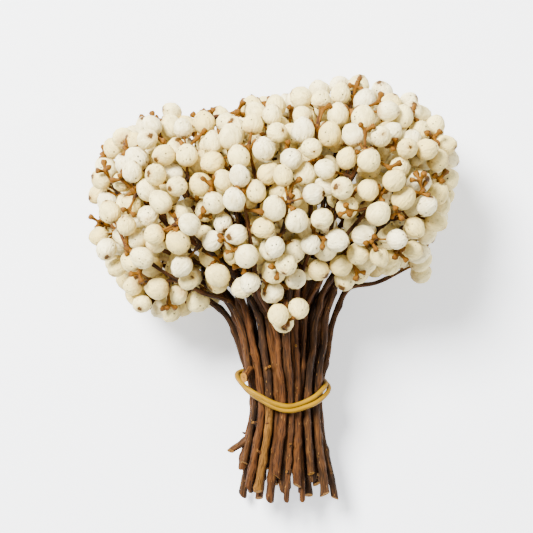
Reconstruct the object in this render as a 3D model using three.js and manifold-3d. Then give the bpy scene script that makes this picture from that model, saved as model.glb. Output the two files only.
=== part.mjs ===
// A bunch of dried tallow-tree sprigs, lying on its side. Each sprig is one woody stem that forks into
// twigs. A twig carries capsules that have shed their shells: a little three-sided column is left of
// each, with two or three white wax-coated seeds round it. A doubled rubber band ties the stems.
// Millimetres, +Z up. In the bunch's own frame the tie is the origin and the stems run along +Y; the
// whole bunch then tilts to lie on its berries and its cut ends.
import * as THREE from "three";
import { mergeVertices } from "three/addons/utils/BufferGeometryUtils.js";
import Module from "manifold-3d";

// Driving dimensions.
const SEED_RADIUS = [4.05, 4.75];
const STEM_RADIUS = [1.1, 1.75];
const TWIG_RADIUS = 0.95;
const COLUMN_RADIUS = [0.35, 1.3];
const BAND_RADIUS = 0.95;
const SPRIGS = 46;
const CAPSULES = 108;
const CUT_END = [-46, -26];
const TILT = 0.225;
const TIE_HEIGHT = 22.5;

// The head of berries is three rounded lobes, each with a centre and its reach along X, Y and Z.
const HEAD_BOX = [
  [-76, 70],
  [30, 126],
  [-46, 46],
];
const LOBES = [
  { centre: [23, 85, -1], reach: [46.5, 42, 43] },
  { centre: [-44, 73, -3], reach: [34, 44, 36] },
  { centre: [-8, 78, 1], reach: [36, 42, 42] },
];
// Capsules that stand clear of the lobes, on the longest twigs.
const STRAYS = [
  [-70, 92, -12],
  [-70, 66, -10],
  [-60, 42, -10],
  [60, 76, -8],
  [52, 50, -12],
  [-30, 109, -2],
  [26, 121, 2],
  [0, 38, 25],
];

// How the growth is spaced.
const FOCUS = [0, 5, 0];
const SHELL = [6.5, 18.5];
const CAPSULE_GAP = 11.6;
const LOWEST_CAPSULE = 6.5;
const WIDEST_LEAN = 1.2;
const FORK_DISTANCE = [37, 50];
const FORK_LEAN = 0.72;
const TIE_SPREAD = 12.5;
const TIE_GAP = 0.4;
const TIE_ROUNDS = 400;
const TIE_PULL = [-0.009, 0, -0.02];
const STEM_BENDS = [0.35, 0.7];
const KNOT_BEFORE_SEEDS = 7;
const TIP_BEYOND_SEEDS = 3.4;
const RING = 1.12;
const PAIRS_SHARE = 0.26;
const CLEAR = 0.25;
const CORNER = 1.06;
const ROOT_SHORT_OF_AXIS = 0.1;
const ROOT_INSIDE = 0.8;
const SINK = 0.35;

// How the rubber band sits. Its profile is the outline of the two strands, in radii of one strand.
const BAND_STEPS = 26;
const BAND_GAP = 0.45;
const BAND_SPREAD = [0.85, 1.15];
const BAND_LINE = { level: 1.9, lean: -1.75, dip: -3, curl: 1.9, slack: 1.6 };
const BAND_PROFILE = [
  [0.5, 0],
  [1, 0.85],
  [0, 1.8],
  [-1, 0.85],
  [-0.5, 0],
  [-1, -0.85],
  [0, -1.8],
  [1, -0.85],
];

// Two side branches that were cut back, each on the stem farthest out on its side of the tie.
const CUT_BRANCHES = [
  { side: [-1, 0, 0], from: -20, run: [-6.5, -4.5, 1.5], radius: 1.35 },
  { side: [-0.75, 0, 0.66], from: 11, run: [-2.2, -2, 5.2], radius: 1.6 },
];

// Vectors are plain arrays of three numbers.
const add = (a, b) => [a[0] + b[0], a[1] + b[1], a[2] + b[2]];
const sub = (a, b) => [a[0] - b[0], a[1] - b[1], a[2] - b[2]];
const times = (a, k) => [a[0] * k, a[1] * k, a[2] * k];
const dot = (a, b) => a[0] * b[0] + a[1] * b[1] + a[2] * b[2];
const length = (a) => Math.sqrt(dot(a, a));
const unit = (a) => times(a, 1 / Math.max(length(a), 1e-9));
const cross = (a, b) => [
  a[1] * b[2] - a[2] * b[1],
  a[2] * b[0] - a[0] * b[2],
  a[0] * b[1] - a[1] * b[0],
];
const between = (a, b, t) => add(a, times(sub(b, a), t));
const clamp = (x) => Math.min(1, Math.max(0, x));
const pick = (range, t) => range[0] + (range[1] - range[0]) * t;

// Repeatable random numbers from 0 to 1.
function draws(seed) {
  let state = seed;
  return () => {
    state = (Math.imul(state, 1664525) + 1013904223) >>> 0;
    return state / 4294967296;
  };
}

// Height above the surface that the bunch lies on.
const height = (p) => TIE_HEIGHT + p[1] * Math.sin(TILT) + p[2] * Math.cos(TILT);

// How far a point lies inside the head of berries.
function depthInHead(p) {
  const depths = LOBES.map(({ centre, reach }) => {
    const share = length(sub(p, centre).map((x, axis) => x / reach[axis]));
    return (1 - share) * (reach[0] + reach[1] + reach[2]) / 3;
  });
  return Math.max(...depths);
}

// The lean from the bunch's axis, as a flat vector: its length is the angle and its direction the side.
function leanOf(p) {
  const ray = sub(p, FOCUS);
  const side = Math.hypot(ray[0], ray[2]);
  const angle = Math.atan2(side, ray[1]);
  return [(ray[0] / side) * angle, 0, (ray[2] / side) * angle];
}

// The point at a distance from the focus, at a given lean.
function alongLean(lean, distance) {
  const angle = length(lean);
  const ray = add(times(unit(lean), Math.sin(angle)), [0, Math.cos(angle), 0]);
  return add(FOCUS, times(ray, distance));
}

// Capsules keep their distance from each other in the outer shell of the head.
function placeCapsules(draw) {
  const capsules = STRAYS.map((p) => [...p]);
  for (let tries = 0; capsules.length < CAPSULES && tries < 60000; tries++) {
    const p = HEAD_BOX.map((range) => pick(range, draw()));
    const depth = depthInHead(p);
    const inShell = depth > SHELL[0] && depth < SHELL[1];
    const canHang = height(p) > LOWEST_CAPSULE && length(leanOf(p)) < WIDEST_LEAN;
    const clear = capsules.every((q) => length(sub(p, q)) > CAPSULE_GAP);
    if (inShell && canHang && clear) capsules.push(p);
  }
  return capsules;
}

// The index of the least number.
const least = (numbers) => numbers.indexOf(Math.min(...numbers));

// Each sprig takes the capsules that lean the same way. The first guesses lie far apart; each is then
// moved to the middle of its own capsules, a few times over.
function shareOut(capsules) {
  const leans = capsules.map(leanOf);
  const farFrom = (lean, middles) => middles.map((middle) => length(sub(lean, middle)));
  let middles = [leans[0]];
  while (middles.length < SPRIGS) {
    const room = leans.map((lean) => Math.min(...farFrom(lean, middles)));
    middles.push(leans[room.indexOf(Math.max(...room))]);
  }
  let groups = [];
  for (let round = 0; round < 12; round++) {
    groups = middles.map(() => []);
    leans.forEach((lean, index) => groups[least(farFrom(lean, middles))].push(index));
    middles = middles.map((middle, k) => {
      const own = groups[k].map((index) => leans[index]);
      return own.length ? times(own.reduce(add), 1 / own.length) : middle;
    });
  }
  const shared = middles.map((lean, k) => ({ lean, capsules: groups[k].map((index) => capsules[index]) }));
  return shared.filter((sprig) => sprig.capsules.length > 0);
}

// The stems are packed side by side in the tie, in the order of their leans.
function packTie(sprigs, draw) {
  for (const sprig of sprigs) {
    sprig.radius = pick(STEM_RADIUS, draw());
    sprig.tie = times(sprig.lean, TIE_SPREAD);
  }
  for (let round = 0; round < TIE_ROUNDS; round++) {
    const pull = times(TIE_PULL, 1 - round / TIE_ROUNDS);
    const pushes = sprigs.map(({ tie }) => [tie[0] * pull[0], 0, tie[2] * pull[2]]);
    for (let i = 0; i < sprigs.length; i++) {
      for (let j = i + 1; j < sprigs.length; j++) {
        const apart = sub(sprigs[i].tie, sprigs[j].tie);
        const missing = sprigs[i].radius + sprigs[j].radius + TIE_GAP - length(apart);
        if (missing <= 0) continue;
        const by = times(unit(apart), missing * 0.4);
        pushes[i] = add(pushes[i], by);
        pushes[j] = sub(pushes[j], by);
      }
    }
    sprigs.forEach((sprig, i) => (sprig.tie = add(sprig.tie, pushes[i])));
  }
}

// Below the tie the stems fan out again, with a slight twist, but hardly towards the surface.
function belowTie(place, y) {
  const share = -y / 30;
  const twist = 0.14 * share;
  const x = place[0] * Math.cos(twist) - place[2] * Math.sin(twist);
  const z = place[0] * Math.sin(twist) + place[2] * Math.cos(twist);
  return [x * (1 + 0.3 * share), y, z * (1 + 0.08 * share)];
}

// All that takes up room: a seed is a ball, a length of twig is a rod between two points.
const points = [];
const home = [];
const rods = [];
const tethers = [];

function point(p, loose) {
  points.push([...p]);
  home.push({ place: [...p], loose });
  return points.length - 1;
}

function rod(a, b, radius, sprig, kind, owner = -1) {
  rods.push({ a, b, radius, sprig, kind, owner });
  return rods.length - 1;
}

// One sprig: its stem from the cut end to the fork, and one to three twigs. The first twig carries the
// stem's line on, and the others leave it at the fork and just below.
function growSprig(sprig, index, draw) {
  const lowest = pick(CUT_END, draw());
  const sway = [pick([-0.4, 0.4], draw()), 0, pick([-0.4, 0.4], draw())];
  const fork = alongLean(times(sprig.lean, FORK_LEAN), pick(FORK_DISTANCE, draw()));
  const outward = unit(sub(alongLean(sprig.lean, 60), fork));
  const rise = length(sub(fork, sprig.tie));
  const stem = [point(add(belowTie(sprig.tie, lowest), sway), 0), point(sprig.tie, 0)];
  for (const t of STEM_BENDS) {
    const straight = between(sprig.tie, fork, t);
    const bent = add(fork, times(outward, -rise * (1 - t)));
    stem.push(point(between(straight, bent, t * t * 0.45), 0.5));
  }
  stem.push(point(fork, 0.5));
  sprig.stemRadii = stem.map((node, k) => sprig.radius * (1 - 0.06 * k));
  stem.slice(1).forEach((node, k) => rod(stem[k], node, sprig.stemRadii[k], index, "stem"));
  sprig.stem = stem;

  // Up to three capsules share a twig, taken in turn round the sprig's own axis.
  const side = unit(cross(outward, [0, 0, 1]));
  const over = cross(outward, side);
  const turn = (p) => Math.atan2(dot(sub(p, fork), over), dot(sub(p, fork), side));
  const sorted = [...sprig.capsules].sort((p, q) => turn(p) - turn(q));
  const count = Math.ceil(sorted.length / 3);
  const share = (k) => Math.round((k * sorted.length) / count);
  sprig.twigs = [];
  for (let k = 0; k < count; k++) {
    const root = stem[stem.length - 1 - (k === 2 ? 1 : 0)];
    sprig.twigs.push(growTwig(root, sorted.slice(share(k), share(k + 1)), index, draw));
  }
}

// A twig runs out to its farthest capsule, and gives off the nearer ones on the way.
function growTwig(root, carried, index, draw) {
  const start = points[root];
  const middle = times(carried.reduce(add), 1 / carried.length);
  const away = unit(sub(middle, start));
  const reach = (p) => dot(sub(p, start), away);
  const inOrder = [...carried].sort((p, q) => reach(p) - reach(q));
  const nodes = [root];
  const columns = [];
  const first = reach(inOrder[0]);
  if (inOrder.length === 1 || first > 24) {
    nodes.push(point(add(start, times(away, (first - 9) * 0.55)), 0.8));
    rod(root, nodes[1], TWIG_RADIUS, index, "twig");
  }
  inOrder.forEach((capsule, k) => {
    const before = nodes[nodes.length - 1];
    if (k === inOrder.length - 1) {
      columns.push(growCapsule(before, capsule, index, draw));
      return;
    }
    const along = Math.max(5, reach(capsule) - KNOT_BEFORE_SEEDS);
    const from = reach(points[before]);
    const knot = point(add(start, times(away, Math.max(along, from + 3.5))), 0.9);
    rod(before, knot, TWIG_RADIUS, index, "twig");
    nodes.push(knot);
    columns.push(growCapsule(knot, capsule, index, draw));
  });
  return { nodes, columns };
}

// What is left of a capsule: its column, with two or three seeds round it.
function growCapsule(knot, middle, index, draw) {
  const stray = [pick([-0.4, 0.4], draw()), pick([-0.4, 0.4], draw()), pick([-0.4, 0.4], draw())];
  const up = unit(add(unit(sub(middle, points[knot])), stray));
  const tip = point(add(middle, times(up, TIP_BEYOND_SEEDS)), 0.9);
  const column = rod(knot, tip, COLUMN_RADIUS[1] * 0.8, index, "column");
  const side = unit(cross(up, unit([0.3, 0.5, 0.8])));
  const over = cross(up, side);
  const start = draw() * 2 * Math.PI;
  const seeds = [];
  const count = draw() < PAIRS_SHARE ? 2 : 3;
  for (let k = 0; k < count; k++) {
    const angle = start + (k * 2 * Math.PI) / 3;
    const radius = pick(SEED_RADIUS, draw());
    const ring = add(times(side, Math.cos(angle)), times(over, Math.sin(angle)));
    const seed = point(add(middle, times(ring, radius * RING)), 1);
    rod(seed, seed, radius * CORNER, index, "seed", column);
    tethers.push({ seed, knot, tip, radius });
    seeds.push({ seed, radius });
  }
  return { knot, tip, seeds };
}

// The nearest points of two rods, as shares of their lengths, and the way from one to the other.
function nearest(a, b) {
  const p = points[a.a];
  const q = points[b.a];
  const d = sub(points[a.b], p);
  const e = sub(points[b.b], q);
  const r = sub(p, q);
  const dd = dot(d, d) + 1e-9;
  const ee = dot(e, e) + 1e-9;
  const de = dot(d, e);
  let s = clamp((de * dot(e, r) - dot(d, r) * ee) / (dd * ee - de * de + 1e-9));
  const t = clamp((de * s + dot(e, r)) / ee);
  s = clamp((de * t - dot(d, r)) / dd);
  return { s, t, apart: sub(add(p, times(d, s)), add(q, times(e, t))) };
}

// Rods that may touch: all but a column and its own seeds, and the wood of one sprig.
function mayMeet(a, b, i, j) {
  if (a.sprig !== b.sprig) return true;
  if (a.kind !== "seed" && b.kind !== "seed") return false;
  return a.owner !== j && b.owner !== i;
}

function nearPairs(margin) {
  const middles = rods.map((r) => between(points[r.a], points[r.b], 0.5));
  const sizes = rods.map((r) => length(sub(points[r.a], points[r.b])) / 2 + r.radius);
  const pairs = [];
  for (let i = 0; i < rods.length; i++) {
    for (let j = i + 1; j < rods.length; j++) {
      const close = length(sub(middles[i], middles[j])) < sizes[i] + sizes[j] + margin;
      if (close && mayMeet(rods[i], rods[j], i, j)) pairs.push([i, j]);
    }
  }
  return pairs;
}

// Berries and twigs push each other aside until nothing shares its room, and stay above the surface.
function settle(steps) {
  let pairs = [];
  for (let step = 0; step < steps; step++) {
    if (step % 10 === 0) pairs = nearPairs(4);
    const push = points.map(() => [0, 0, 0]);
    const shift = (index, by) => (push[index] = add(push[index], by));
    for (const [i, j] of pairs) {
      const a = rods[i];
      const b = rods[j];
      const { s, t, apart } = nearest(a, b);
      const missing = a.radius + b.radius + CLEAR - length(apart);
      if (missing <= 0) continue;
      const by = times(unit(apart), missing * 0.42);
      shift(a.a, times(by, 1 - s));
      shift(a.b, times(by, s));
      shift(b.a, times(by, t - 1));
      shift(b.b, times(by, -t));
    }
    for (const { seed, knot, tip, radius } of tethers) {
      const up = unit(sub(points[tip], points[knot]));
      const middle = sub(points[tip], times(up, TIP_BEYOND_SEEDS));
      const out = sub(points[seed], middle);
      const ring = unit(sub(out, times(up, dot(out, up))));
      const along = Math.max(-2, Math.min(2, dot(out, up)));
      const place = add(middle, add(times(ring, radius * RING), times(up, along)));
      const error = sub(place, points[seed]);
      shift(seed, times(error, 0.5));
      shift(tip, times(error, -0.12));
    }
    rods.forEach((r) => {
      const floor = r.kind === "seed" ? r.radius / CORNER - SINK : r.radius;
      for (const end of [r.a, r.b]) {
        const low = floor - height(points[end]);
        if (low > 0) shift(end, [0, low * Math.sin(TILT) * 0.5, low * Math.cos(TILT) * 0.5]);
      }
    });
    points.forEach((p, index) => {
      const { place, loose } = home[index];
      const back = times(sub(place, p), 0.02 * (1 - step / steps));
      const by = times(add(push[index], back), loose);
      const most = Math.min(1, 1.2 / Math.max(length(by), 1e-9));
      points[index] = add(p, times(by, most)).map((x) => Math.round(x * 1000) / 1000);
    });
  }
}

// The layout: berries first, then the sprigs that carry them, then room for each.
const draw = draws(35);
const sprigs = shareOut(placeCapsules(draw));
packTie(sprigs, draw);
sprigs.forEach((sprig, index) => growSprig(sprig, index, draw));
settle(220);

const wasm = await Module();
wasm.setup();

// A closed three.js geometry as a solid that can be joined and cut, and back again.
function solidOf(geometry) {
  geometry.deleteAttribute("normal");
  geometry.deleteAttribute("uv");
  const merged = mergeVertices(geometry, 1e-4);
  const vertProperties = new Float32Array(merged.attributes.position.array);
  const triVerts = new Uint32Array(merged.index.array);
  return new wasm.Manifold(new wasm.Mesh({ numProp: 3, vertProperties, triVerts }));
}

function geometryOf(solid) {
  const { vertProperties, triVerts, numProp } = solid.getMesh();
  const geometry = new THREE.BufferGeometry();
  const position = new THREE.BufferAttribute(new Float32Array(vertProperties), numProp);
  geometry.setAttribute("position", position);
  geometry.setIndex(new THREE.BufferAttribute(new Uint32Array(triVerts), 1));
  geometry.computeVertexNormals();
  return geometry;
}

const join = (solids) => solids.reduce((whole, next) => whole.add(next));

// A many-sided length of wood along a path, with its radius at each point. The last two cross-sections
// may be given corners of their own, as angles round the path.
function woodAlong(path, radii, sides, corners) {
  const shape = new THREE.CylinderGeometry(1, 1, 1, sides, path.length - 1);
  const frames = framesAlong(path);
  const position = shape.attributes.position;
  for (let i = 0; i < position.count; i++) {
    const [x, y, z] = [position.getX(i), position.getY(i), position.getZ(i)];
    const ring = Math.round((y + 0.5) * (path.length - 1));
    const corner = (Math.round((Math.atan2(x, z) * sides) / (2 * Math.PI)) + sides) % sides;
    const given = corners && ring > path.length - 3;
    const angle = given ? corners[corner] : Math.atan2(x, z);
    const out = Math.hypot(x, z) * radii[ring];
    const { origin, side, up } = frames[ring];
    const across = add(times(side, Math.sin(angle)), times(up, Math.cos(angle)));
    position.setXYZ(i, ...add(origin, times(across, out)));
  }
  return solidOf(shape);
}

// A cross-section frame at each point of a path, carried along it without twist.
function framesAlong(path) {
  let up = [0, 0, 1];
  return path.map((origin, k) => {
    const tangent = unit(sub(path[Math.min(k + 1, path.length - 1)], path[Math.max(k - 1, 0)]));
    up = unit(sub(up, times(tangent, dot(up, tangent))));
    return { origin, side: cross(tangent, up), up };
  });
}

// A three-sided column has its corners midway between its seeds, so that each seed meets a flat side.
function cornersBetween(path, middle, seeds) {
  const frames = framesAlong(path);
  const { side, up } = frames[frames.length - 1];
  const turns = seeds
    .map(({ seed }) => sub(points[seed], middle))
    .map((out) => Math.atan2(dot(out, side), dot(out, up)))
    .sort((p, q) => p - q);
  const nextTurns = [...turns.slice(1), turns[0] + 2 * Math.PI];
  const gaps = turns.map((turn, k) => nextTurns[k] - turn);
  const corners = [];
  turns.forEach((turn, k) => {
    const count = turns.length === 2 && gaps[k] === Math.max(...gaps) ? 2 : 1;
    for (let c = 1; c <= count; c++) corners.push(turn + (gaps[k] * c) / (count + 1));
  });
  const first = least(corners.map((angle) => Math.abs(Math.atan2(Math.sin(angle), Math.cos(angle)))));
  return corners.map((c, k) => corners[(first + k) % 3]);
}

// A seed has one corner drawn out to the column that it grew on.
function seedSolid(centre, column, radius) {
  const shape = new THREE.IcosahedronGeometry(radius * CORNER, 0);
  const position = shape.attributes.position;
  const corner = new THREE.Vector3().fromBufferAttribute(position, 0);
  const drawnOut = length(sub(column, centre)) - ROOT_SHORT_OF_AXIS;
  const vertex = new THREE.Vector3();
  for (let i = 0; i < position.count; i++) {
    vertex.fromBufferAttribute(position, i);
    if (vertex.distanceTo(corner) < 0.01) position.setXYZ(i, ...vertex.setLength(drawnOut));
  }
  const inward = new THREE.Vector3(...unit(sub(column, centre)));
  shape.applyQuaternion(new THREE.Quaternion().setFromUnitVectors(corner.normalize(), inward));
  shape.translate(...centre);
  return solidOf(shape);
}

// A sprig joined into one solid: stem, twigs, columns and seeds. A twig's last column is its own tip.
function sprigSolid(sprig) {
  const at = (indexes) => indexes.map((index) => points[index]);
  const stem = at(sprig.stem);
  const solids = [woodAlong(stem, sprig.stemRadii, 5)];
  for (const twig of sprig.twigs) {
    const base = sprig.stem.indexOf(twig.nodes[0]);
    const down = unit(sub(stem[base - 1], stem[base]));
    const root = add(stem[base], times(down, ROOT_INSIDE));
    const outermostFirst = [...twig.columns].reverse();
    for (const column of outermostFirst) {
      const up = unit(sub(points[column.tip], points[column.knot]));
      const middle = sub(points[column.tip], times(up, TIP_BEYOND_SEEDS));
      const runsOn = column === outermostFirst[0];
      const below = runsOn ? [root, ...at(twig.nodes.slice(1))] : at([column.knot]);
      const path = [...below, points[column.tip]];
      const radii = path.map(() => TWIG_RADIUS);
      if (!runsOn) radii[0] = COLUMN_RADIUS[0];
      radii[radii.length - 1] = COLUMN_RADIUS[1];
      solids.push(woodAlong(path, radii, 3, cornersBetween(path, middle, column.seeds)));
      for (const { seed, radius } of column.seeds) {
        const along = dot(sub(points[seed], middle), up);
        solids.push(seedSolid(points[seed], add(middle, times(up, along)), radius));
      }
    }
  }
  return join(solids);
}

// Where a stem passes a given distance along the bunch's axis.
function stemAt(sprig, y) {
  const stem = sprig.stem.map((index) => points[index]);
  const k = Math.max(1, stem.findIndex((p) => p[1] > y));
  return between(stem[k - 1], stem[k], (y - stem[k - 1][1]) / (stem[k][1] - stem[k - 1][1]));
}

// A short side branch that was cut back.
function cutBranch({ sprig, from, run, radius }) {
  const start = stemAt(sprig, from);
  return woodAlong([start, add(start, run)], [radius * 0.8, radius], 5);
}

// The rubber band is wound twice: its two strands lie side by side round all the stems.
function bandSolid() {
  const shape = new THREE.TorusGeometry(1, 0.1, BAND_PROFILE.length, BAND_STEPS);
  const angles = Array.from({ length: BAND_STEPS }, (unused, k) => (k * 2 * Math.PI) / BAND_STEPS);
  const path = angles.map(bandPoint);
  const onPath = (step) => path[(step + BAND_STEPS) % BAND_STEPS];
  const position = shape.attributes.position;
  for (let i = 0; i < position.count; i++) {
    const step = (i % (BAND_STEPS + 1)) % BAND_STEPS;
    const [out, along] = BAND_PROFILE[Math.floor(i / (BAND_STEPS + 1)) % BAND_PROFILE.length];
    const tangent = unit(sub(onPath(step + 1), onPath(step - 1)));
    const away = [path[step][0], 0, path[step][2]];
    const outward = unit(sub(away, times(tangent, dot(away, tangent))));
    const across = cross(outward, tangent);
    const apart = pick(BAND_SPREAD, (1 + Math.cos(angles[step])) / 2);
    const offset = add(times(outward, out), times(across, along * apart));
    position.setXYZ(i, ...add(path[step], times(offset, BAND_RADIUS)));
  }
  return solidOf(shape);
}

// The band's own line: pushed up towards the berries at the sides, with a slack loop on the left.
function bandPoint(angle) {
  const way = [Math.cos(angle), 0, Math.sin(angle)];
  const { level, lean, dip, curl, slack } = BAND_LINE;
  const y = level + lean * way[0] + dip * way[2] + curl * Math.cos(2 * angle);
  const reach = Math.max(...sprigs.map((s) => dot(stemAt(s, y), way) + s.radius));
  const loop = slack * Math.pow(Math.max(0, -way[0]), 6);
  return add(times(way, reach + BAND_RADIUS + BAND_GAP + loop), [0, y, 0]);
}

const berries = new THREE.MeshStandardMaterial({ color: 0xd9d2c4, roughness: 0.75, metalness: 0 });
const rubber = new THREE.MeshStandardMaterial({ color: 0xd7a51e, roughness: 0.5, metalness: 0 });
const bunch = new THREE.Group();
bunch.rotation.x = TILT;
bunch.position.z = TIE_HEIGHT;

function addMesh(name, solid, material) {
  const mesh = new THREE.Mesh(geometryOf(solid), material.clone());
  mesh.name = name;
  bunch.add(mesh);
}

// The stem that lies farthest out at the tie, on the given side.
function outermost(side) {
  return sprigs.reduce((best, s) => (dot(s.tie, side) > dot(best.tie, side) ? s : best));
}

// The surface presses a small flat on each berry that would dip below it.
const ground = new THREE.BoxGeometry(400, 400, 60);
ground.translate(0, 0, -30 - TIE_HEIGHT);
ground.rotateX(-TILT);
const below = solidOf(ground);

const cutBranches = CUT_BRANCHES.map((branch) => ({ ...branch, sprig: outermost(branch.side) }));
sprigs.forEach((sprig, index) => {
  const own = cutBranches.filter((branch) => branch.sprig === sprig);
  const whole = join([sprigSolid(sprig), ...own.map(cutBranch)]);
  addMesh(`sprig_${String(index + 1).padStart(2, "0")}`, whole.subtract(below), berries);
});
addMesh("rubber_band", bandSolid(), rubber);

// The origin is the middle of the bunch's footprint, on the surface.
const part = new THREE.Group();
part.add(bunch);
const box = new THREE.Box3().setFromObject(part, true);
bunch.position.x -= (box.min.x + box.max.x) / 2;
bunch.position.y -= (box.min.y + box.max.y) / 2;
export default part;
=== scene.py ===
import math

import bpy
import numpy as np
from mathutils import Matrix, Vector


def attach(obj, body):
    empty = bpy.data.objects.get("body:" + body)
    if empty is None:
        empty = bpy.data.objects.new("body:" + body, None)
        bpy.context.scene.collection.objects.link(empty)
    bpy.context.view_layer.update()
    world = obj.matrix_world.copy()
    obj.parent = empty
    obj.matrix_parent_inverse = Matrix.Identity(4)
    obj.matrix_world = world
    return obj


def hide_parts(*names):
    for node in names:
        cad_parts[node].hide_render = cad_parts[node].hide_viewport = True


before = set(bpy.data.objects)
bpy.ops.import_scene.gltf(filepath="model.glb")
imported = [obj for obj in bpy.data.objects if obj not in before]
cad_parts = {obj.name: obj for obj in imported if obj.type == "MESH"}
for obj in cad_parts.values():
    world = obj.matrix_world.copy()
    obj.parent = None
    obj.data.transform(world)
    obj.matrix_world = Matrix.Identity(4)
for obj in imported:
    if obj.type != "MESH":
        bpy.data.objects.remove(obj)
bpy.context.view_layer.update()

# How the sprigs grew.
# A woody stem forks into one to three twigs; on them, of each seed capsule, a little column is left
# with two or three seeds round it. In the solids' layout: millimetres from the tie, stems along +Y.
SEED_RADIUS = [4.05, 4.75]
STEM_RADIUS = [1.1, 1.75]
TWIG_RADIUS = 0.95
COLUMN_RADIUS = 1.3
SPRIGS = 46
CAPSULES = 108
CUT_END = [-46, -26]
TILT = 0.225
TIE_HEIGHT = 22.5
FOOTPRINT_MIDDLE = [-4.8053, 40.0894]
HEAD_BOX = [[-76, 70], [30, 126], [-46, 46]]
LOBES = [
    ([23, 85, -1], [46.5, 42, 43]),
    ([-44, 73, -3], [34, 44, 36]),
    ([-8, 78, 1], [36, 42, 42]),
]
STRAYS = [
    [-70, 92, -12], [-70, 66, -10], [-60, 42, -10], [60, 76, -8],
    [52, 50, -12], [-30, 109, -2], [26, 121, 2], [0, 38, 25],
]
FOCUS = np.array([0.0, 5.0, 0.0])
SHELL = [6.5, 18.5]
CAPSULE_GAP = 11.6
LOWEST_CAPSULE = 6.5
WIDEST_LEAN = 1.2
FORK_DISTANCE = [37, 50]
FORK_LEAN = 0.72
TIE_SPREAD = 12.5
TIE_GAP = 0.4
TIE_ROUNDS = 400
TIE_PULL = np.array([-0.009, 0, -0.02])
STEM_BENDS = [0.35, 0.7]
KNOT_BEFORE_SEEDS = 7
TIP_BEYOND_SEEDS = 3.4
RING = 1.12
PAIRS_SHARE = 0.26
CLEAR = 0.25
CORNER = 1.06
SINK = 0.35
LAYOUT_SEED = 35
CAPSULE_TRIES = 60000
SHARING_ROUNDS = 12
SETTLING_STEPS = 220
CUT_END_SWAY = [-0.4, 0.4]
STEM_TAPER = 0.06
STEM_BOW = 0.45
FAN_LENGTH, FAN_TWIST, FAN_WIDTH, FAN_HEIGHT = 30, 0.14, 0.3, 0.08
LONG_TWIG = 24
KNOT_FROM_FORK, KNOTS_APART = 5, 3.5
COLUMN_STRAY = [-0.4, 0.4]
LONGEST_MOVE = 1.2
PUSH_APART, PULL_HOME = 0.42, 0.02
SEED_PULL, TIP_PULL = 0.5, -0.12


def vec(*xyz):
    return np.array(xyz, dtype=float)


def length(a):
    return math.sqrt(a[0] * a[0] + a[1] * a[1] + a[2] * a[2])


def unit(a):
    return a * (1 / max(length(a), 1e-9))


def pick(limits, t):
    return limits[0] + (limits[1] - limits[0]) * t


def draws(seed):
    """Repeatable random numbers from 0 to 1."""
    state = seed
    while True:
        state = (state * 1664525 + 1013904223) & 0xFFFFFFFF
        yield state / 4294967296


def in_head_box(draw):
    return vec(*[pick(limits, next(draw)) for limits in HEAD_BOX])


def height(p):
    """Height above the surface that the bunch lies on."""
    return TIE_HEIGHT + p[..., 1] * math.sin(TILT) + p[..., 2] * math.cos(TILT)


def depth_in_head(p):
    depths = []
    for centre, reach in LOBES:
        share = length([(p[k] - centre[k]) / reach[k] for k in range(3)])
        depths.append((1 - share) * (reach[0] + reach[1] + reach[2]) / 3)
    return max(depths)


def lean_of(p):
    """The lean from the bunch's axis: its length is the angle and its direction the side."""
    ray = p - FOCUS
    side = math.hypot(ray[0], ray[2])
    angle = math.atan2(side, ray[1])
    return vec(ray[0] / side * angle, 0, ray[2] / side * angle)


def along_lean(lean, distance):
    angle = length(lean)
    ray = unit(lean) * math.sin(angle) + vec(0, math.cos(angle), 0)
    return FOCUS + ray * distance


def place_capsules(draw):
    capsules = [vec(*p) for p in STRAYS]
    for tries in range(CAPSULE_TRIES):
        if len(capsules) >= CAPSULES:
            break
        p = in_head_box(draw)
        if not SHELL[0] < depth_in_head(p) < SHELL[1]:
            continue
        if height(p) <= LOWEST_CAPSULE or length(lean_of(p)) >= WIDEST_LEAN:
            continue
        if all(length(p - q) > CAPSULE_GAP for q in capsules):
            capsules.append(p)
    return capsules


def share_out(capsules):
    """Each sprig takes the capsules that lean the same way."""
    leans = [lean_of(p) for p in capsules]
    middles = [leans[0]]
    while len(middles) < SPRIGS:
        room = [min(length(lean - middle) for middle in middles) for lean in leans]
        middles.append(leans[room.index(max(room))])
    for turn in range(SHARING_ROUNDS):
        groups = [[] for middle in middles]
        for index, lean in enumerate(leans):
            far = [length(lean - middle) for middle in middles]
            groups[far.index(min(far))].append(index)
        for k, group in enumerate(groups):
            if group:
                middles[k] = sum(leans[i] for i in group) * (1 / len(group))
    sprigs = [
        {"lean": middle, "capsules": [capsules[i] for i in group]}
        for middle, group in zip(middles, groups)
    ]
    return [sprig for sprig in sprigs if sprig["capsules"]]


def pack_tie(sprigs, draw):
    """The stems lie side by side in the tie, in the order of their leans."""
    for sprig in sprigs:
        sprig["radius"] = pick(STEM_RADIUS, next(draw))
    place = np.array([sprig["lean"] * TIE_SPREAD for sprig in sprigs])
    radius = np.array([sprig["radius"] for sprig in sprigs])
    i, j = np.triu_indices(len(sprigs), 1)
    for turn in range(TIE_ROUNDS):
        pushes = place * (TIE_PULL * (1 - turn / TIE_ROUNDS))
        apart = place[i] - place[j]
        far = np.maximum(lengths(apart), 1e-9)
        missing = np.maximum(radius[i] + radius[j] + TIE_GAP - far, 0)
        by = apart * (missing * 0.4 / far)[:, None]
        np.add.at(pushes, i, by)
        np.add.at(pushes, j, -by)
        place = place + pushes
    for sprig, tie in zip(sprigs, place):
        sprig["tie"] = tie


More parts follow.
